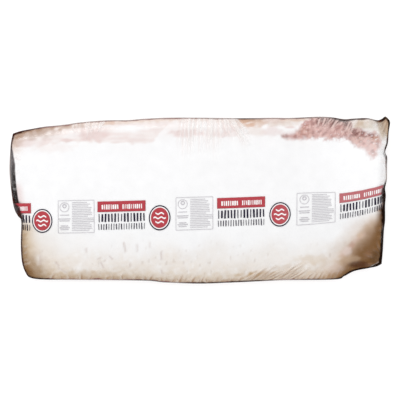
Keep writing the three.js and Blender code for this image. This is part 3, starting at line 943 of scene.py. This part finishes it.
film = piece("shrink_film", bag_points, bag_faces, film_look)
paint(film, "haze", film_haze)
paint(film, "film_tint", film_rgb)
paint(film, "polish",
      1 - np.maximum.reduce([bag_juice_and_edge_shade, 0.75 * upper_edge, dark_end, dark_corner, dark_foot]))
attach(film, "root")
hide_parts("vacuum_pack")

# ---------------------------------------------------------------------------------------------------------
# The print: one band of flexographic inks on the outside of the film, repeated along the bag and wrapped
# over both ends of the belly. Each repeat has a grey box of small print, a red bar over two rows of dark
# strokes, and a badge. Places on it are u along the band from the pack's middle and v across it.

BAND = side((-332, -28.4), (-300, -28.6), (-262, -29), (-132, -26.2), (70, -19.9), (200, -13.6),
            (234, -11.2), (264, -6.5), (283, -2.0), (295, 3.8), (304, 10.5), (312, 18.5), (320, 26))
BAND_LINE = BAND(np.linspace(0, 1, 400))
NARROWING = {"at": (-300, -270, 110, 190, 235, 300), "width": (0.93, 1, 1, 0.97, 0.9, 0.855)}
BAND_HALF, BAND_STEP = 34, 0.8
INK_LIFT, INK_SINK = 0.13, 0.06  # the ink's two faces, above and below the film's surface
TOP_WEST, TOP_EAST = -LENGTH / 2 + 34, LENGTH / 2 - 40  # past these the band turns down over the ends
TURN_REACH, TURN_HEIGHT, TURN_ANGLES = 20, WAIST - 4, np.linspace(0, 2.2, 90)
ABOVE = 90  # a height clear of the pack


def band_y(x, v):
    """Where the line at v across the band runs over x."""
    return np.interp(x, *BAND_LINE.T) + v * np.interp(x, NARROWING["at"], NARROWING["width"])


def film_path(film_tree, v):
    """The line at v across the band, west to east: its distances along the film from the middle of the pack,
    and its points, found straight down on the top and swept round at both ends."""
    found = []
    for x in np.arange(TOP_WEST, TOP_EAST, BAND_STEP):
        found.append(film_tree.ray_cast(Vector((x, band_y(x, v), ABOVE)), Vector((0, 0, -1)))[0])
    for end, first in ((-1, TOP_WEST), (1, TOP_EAST)):
        swept = []
        for angle in TURN_ANGLES:
            run = end * TURN_REACH * math.sin(min(angle, math.pi / 2))
            centre = Vector((first, band_y(first + run, v), TURN_HEIGHT))
            out = Vector((end * math.sin(angle), 0, math.cos(angle)))
            swept.append(film_tree.ray_cast(centre, out)[0])
        swept = [p for p in swept if p is not None]
        found = list(reversed(swept)) + found if end < 0 else found + swept
    line = np.array(found)
    along = np.concatenate([[0], np.cumsum(np.linalg.norm(np.diff(line, axis=0), axis=1))])
    return along - np.interp(0, line[:, 0], along), line


film_tree = BVHTree.FromPolygons(bag_points.tolist(), bag_faces)
BAND_V = np.arange(-BAND_HALF, BAND_HALF + BAND_STEP, BAND_STEP)
BAND_U = np.arange(-352, 345, BAND_STEP)
band_table = np.zeros((len(BAND_V), len(BAND_U), 3))
for row, v in enumerate(BAND_V):
    along, line = film_path(film_tree, v)
    for axis in range(3):
        band_table[row, :, axis] = np.interp(BAND_U, along, line[:, axis])
band_slope_u, band_slope_v = np.gradient(band_table, axis=1), np.gradient(band_table, axis=0)
band_normal = np.cross(band_slope_u, band_slope_v)
band_normal /= np.linalg.norm(band_normal, axis=-1, keepdims=True) + 1e-12


def on_film(table, u, v):
    """Reads a table of the band at places u along it and v across it."""
    i = np.clip((v - BAND_V[0]) / BAND_STEP, 0, len(BAND_V) - 1.001)
    j = np.clip((u - BAND_U[0]) / BAND_STEP, 0, len(BAND_U) - 1.001)
    i0, j0 = i.astype(int), j.astype(int)
    fi, fj = (i - i0)[..., None], (j - j0)[..., None]
    low = table[i0, j0] * (1 - fj) + table[i0, j0 + 1] * fj
    high = table[i0 + 1, j0] * (1 - fj) + table[i0 + 1, j0 + 1] * fj
    return low * (1 - fi) + high * fi


# the paler tone the inks take towards the east
EAST_PALE_INK = linear(226, 220, 222)


class Ink:
    """Patches of one ink, gathered to be one piece: each is a thin closed slab that follows the film."""

    def __init__(self):
        self.points, self.faces, self.total = [], [], 0

    def patch(self, u, v, lift=INK_LIFT, ring=False):
        """A slab over a grid of places. A ring's grid closes on itself along its columns."""
        surface_points, normals = on_film(band_table, u, v), on_film(band_normal, u, v)
        rows, columns = u.shape
        for height in (lift, -INK_SINK):
            self.points.append((surface_points + normals * height).reshape(-1, 3))
        upper = self.total + np.arange(rows * columns).reshape(rows, columns)
        lower = upper + rows * columns
        if ring:
            upper, lower = (np.hstack([g, g[:, :1]]) for g in (upper, lower))
        for grid, turn in ((upper, 1), (lower, -1)):
            quads = np.stack([grid[:-1, :-1], grid[:-1, 1:], grid[1:, 1:], grid[1:, :-1]], -1)
            self.faces += quads.reshape(-1, 4)[:, ::turn].tolist()
        walls = [(upper[0], lower[0], 1), (upper[-1], lower[-1], -1)]
        if not ring:
            walls += [(upper[:, 0], lower[:, 0], -1), (upper[:, -1], lower[:, -1], 1)]
        for top_line, low_line, turn in walls:
            quads = np.stack([top_line[:-1], low_line[:-1], low_line[1:], top_line[1:]], -1)
            self.faces += quads[:, ::turn].tolist()
        self.total += 2 * rows * columns

    def box(self, u, v, width, height, cell=1.6):
        columns, rows = max(2, round(width / cell) + 1), max(2, round(height / cell) + 1)
        self.patch(*np.meshgrid(np.linspace(u - width / 2, u + width / 2, columns),
                                np.linspace(v - height / 2, v + height / 2, rows)))

    def oval(self, u, v, width, height, inner=0.04):
        """A disc, or a ring from the share inner of its radius outwards."""
        turn = np.linspace(0, 2 * math.pi, 73)[:-1]
        radius = np.linspace(1, inner, max(2, round((1 - inner) * width / 3) + 1))
        radius, turn = np.meshgrid(radius, turn, indexing="ij")
        self.patch(u + radius * np.cos(turn) * width / 2, v + radius * np.sin(turn) * height / 2, ring=True)

    def finish(self, name, colour, slot, east_paling=0):
        """Makes the piece: speckled, paler towards the east by the given share, and darkened near the bag's
        edge by the juice and painted shade there.
        """
        look, tree = new_look(name)
        tint = painted(tree, "ink_tint", "Color")
        speckled = add_node(tree, "Group", {
            "Color": tint, "Scale": 900, "Detail": 2, "Low": 0, "High": 1,
            "Darkest": 0.86, "Brightest": 1.14}, "Color", node_tree=uneven_tone)
        feed(tree, tree.nodes["Principled BSDF"],
             {"Base Color": speckled, "Roughness": 0.35, "Specular IOR Level": 0.1})
        points = np.concatenate(self.points)
        made = piece(name, points, self.faces, look)
        # paler towards the east
        paled = east_paling * smooth((points[:, 0] - 90) / 130)[:, None]
        # juice and painted shade darken the ink near the bag's edge and ends
        juice = 0.95 * juice_and_edge_shade(*points.T, softness=7, spread=1.5)[:, None]
        shade = colour + (EAST_PALE_INK - colour) * paled
        paint(made, "ink_tint", shade + (DARK_JUICE_AND_SHADE - shade) * juice)
        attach(made, "root")


red_ink, dark_ink, grey_ink, white_ink = Ink(), Ink(), Ink(), Ink()
OVER_LIFT = INK_LIFT + 0.1  # of one ink over another

# Blocks of strokes: a red bar with two groups of pale strokes, over two rows of dark strokes.
BLOCK_WIDTH, BLOCK_CENTRES = 80, (-322.5, -130.8, 68.5, 272.5)
BAR_V, BAR_HEIGHT = 15.4, 17.6


def strokes(ink, centre, width, v, height, count, thick, seed, lift=INK_LIFT):
    """A row of strokes of uneven thickness, height and lean, which stands for a word."""
    draw = np.random.default_rng(seed)
    pitch = width / count
    for n in range(count):
        u = centre - width / 2 + (n + 0.5) * pitch
        broad, tall = pitch * thick * draw.uniform(0.6, 1.35), height * draw.uniform(0.84, 1)
        lean = draw.uniform(-0.05, 0.05)
        across, up = np.meshgrid(np.linspace(-broad / 2, broad / 2, 3), np.linspace(-tall / 2, tall / 2, 9))
        ink.patch(u + across + lean * up, v + up, lift)


for centre in BLOCK_CENTRES:
    red_ink.box(centre, BAR_V, BLOCK_WIDTH, BAR_HEIGHT)
    strokes(white_ink, centre - 19, 29, 14.8, 8.4, 8, 0.58, seed=51, lift=OVER_LIFT)
    strokes(white_ink, centre + 18, 34, 14.8, 8.4, 10, 0.58, seed=52, lift=OVER_LIFT)
    strokes(dark_ink, centre, BLOCK_WIDTH, -3.3, 14.6, 15, 0.42, seed=53)
    strokes(dark_ink, centre, BLOCK_WIDTH, -18.2, 11, 19, 0.31, seed=54)

# Badges: a red oval in a dark line and a white one, with three wavy white bars.
BADGES = [(-263.3, -6.2, 34.5, 40), (-67.2, -5.6, 36, 42), (133.4, -7.2, 35.5, 41)]  # u, v, width, height
WHITE_SHARE, RED_SHARE, RING_INNER = 0.9, 0.81, 0.9
WAVES = ((7.2, 0.4), (0, 0.58), (-7.2, 0.4))  # each wavy bar's v from the middle, and its share of the width
WAVE_HALF, WAVE_RISE, WAVE_TURN = 1.25, 1.2, 0.6
for centre, middle, width, height in BADGES:
    dark_ink.oval(centre, middle, width, height, inner=RING_INNER)
    white_ink.oval(centre, middle, width * WHITE_SHARE, height * WHITE_SHARE, inner=RING_INNER)
    red_ink.oval(centre, middle, width * RED_SHARE, height * RED_SHARE)
    for v, share in WAVES:
        reach = width * share / 2
        across, up = np.meshgrid(np.linspace(-reach, reach, 25), np.linspace(-WAVE_HALF, WAVE_HALF, 3))
        wave = WAVE_RISE * np.sin(across * WAVE_TURN)
        white_ink.patch(centre + across, middle + v + up + wave, OVER_LIFT)

# Boxes of small print: a thin frame, a ring in a ring, and two columns of fine lines.
BOXES = ((-206.4, 60), (-9.4, 61.5), (193.5, 64))  # centre and width
BOX_HEIGHT, FRAME_LINE = 54, 0.7
SMALL_LINE, SMALL_PITCH, SHORT_LINE = 0.85, 2.9, 1.2
SHORT_LINES = ((3, 15), (-3.4, 19), (-6.6, 17), (-15, 12), (-18, 17), (-21, 13))  # v and width
LEFT_COLUMN, RIGHT_COLUMN = -19.5, -7  # middle of the short lines, and start of the long ones
for centre, box_width in BOXES:
    for end in (-1, 1):
        grey_ink.box(centre, end * BOX_HEIGHT / 2, box_width, FRAME_LINE)
        grey_ink.box(centre + end * box_width / 2, 0, FRAME_LINE, BOX_HEIGHT - 2 * FRAME_LINE)
    grey_ink.oval(centre + LEFT_COLUMN, 16, 16, 16, inner=RING_INNER)
    grey_ink.oval(centre + LEFT_COLUMN, 18, 7, 7, inner=0.6)
    draw = np.random.default_rng(61)
    for v in np.arange(-23, 24, SMALL_PITCH):
        width = draw.uniform(24, 37)
        grey_ink.box(centre + RIGHT_COLUMN + width / 2, v, width, SMALL_LINE)
    for v, width in SHORT_LINES:
        grey_ink.box(centre + LEFT_COLUMN, v, width, SHORT_LINE)

red_ink.finish("red_print", linear(172, 64, 72), "red_ink", east_paling=0.14)
dark_ink.finish("dark_print", linear(34, 27, 50), "dark_ink")
grey_ink.finish("grey_print", linear(198, 195, 200), "grey_ink")
white_ink.finish("white_print", linear(244, 240, 240), "white_ink")

# ---------------------------------------------------------------------------------------------------------
# The studio: a pale lit table under a broad overhead glow, with one soft key light from the upper left, and
# a camera straight above the middle of the pack. Sizes are in metres.

FLOOR_SIZE, FLOOR_GAP = 8.0, 0.0006
FLOOR_GREY, FLOOR_GLOW = 0.35, 0.74
half = FLOOR_SIZE / 2
floor_corners = [(x, y, -FLOOR_GAP) for x, y in ((-half, -half), (half, -half), (half, half), (-half, half))]
floor_mesh = bpy.data.meshes.new("studio_floor")
floor_mesh.from_pydata(floor_corners, [], [(0, 1, 2, 3)])
floor_look, tree = new_look("pale_floor")
feed(tree, tree.nodes["Principled BSDF"], {
    "Base Color": (FLOOR_GREY, FLOOR_GREY, FLOOR_GREY, 1), "Roughness": 0.9,
    "Emission Color": (1, 1, 1, 1), "Emission Strength": FLOOR_GLOW})
floor_mesh.materials.append(floor_look)
studio_floor = bpy.data.objects.new("studio_floor", floor_mesh)
bpy.context.scene.collection.objects.link(studio_floor)

KEY_PLACE, KEY_SIZE, KEY_POWER = (-0.75, 1.15, 1.35), 0.9, 10
key_data = bpy.data.lights.new("key_light", "AREA")
key_data.shape, key_data.size, key_data.energy = "SQUARE", KEY_SIZE, KEY_POWER
key_light = bpy.data.objects.new("key_light", key_data)
key_light.location = KEY_PLACE
key_light.rotation_euler = (-Vector(KEY_PLACE)).to_track_quat("-Z", "Y").to_euler()
bpy.context.scene.collection.objects.link(key_light)

OVERHEAD, HORIZON, BACKDROP = 1.09, 0.58, 0.95  # brightness of the air above, at the sides and behind
air = bpy.data.worlds.new("studio_air")
air.use_nodes = True
tree = air.node_tree
direction = add_node(tree, "TexCoord", {}, "Generated")
upward = add_node(tree, "SeparateXYZ", {0: direction}, "Z")
glow = add_node(tree, "MapRange", {
    "Value": upward, "From Min": 0.1, "From Max": 0.75, "To Min": HORIZON, "To Max": OVERHEAD}, "Result",
    interpolation_type="SMOOTHSTEP")
seen = add_node(tree, "LightPath", {}, "Is Camera Ray")
brightness = add_node(tree, "Mix", {"Factor": seen, "A": glow, "B": BACKDROP}, "Result",
                      data_type="FLOAT")
feed(tree, tree.nodes["Background"], {"Color": (1, 1, 1, 1), "Strength": brightness})
bpy.context.scene.world = air

VIEW_WIDTH, EDGE_PLANE = 0.6756, 0.02  # what the frame takes in, at the height of the pack's outline
VIEW_Y = -0.0003
camera_data = bpy.data.cameras.new("camera")
camera_data.lens, camera_data.sensor_width = 100, 36
camera = bpy.data.objects.new("camera", camera_data)
camera.location = (0, VIEW_Y, EDGE_PLANE + VIEW_WIDTH * camera_data.lens / camera_data.sensor_width)
bpy.context.scene.collection.objects.link(camera)
bpy.context.scene.camera = camera
bpy.context.scene.view_settings.view_transform = "Standard"
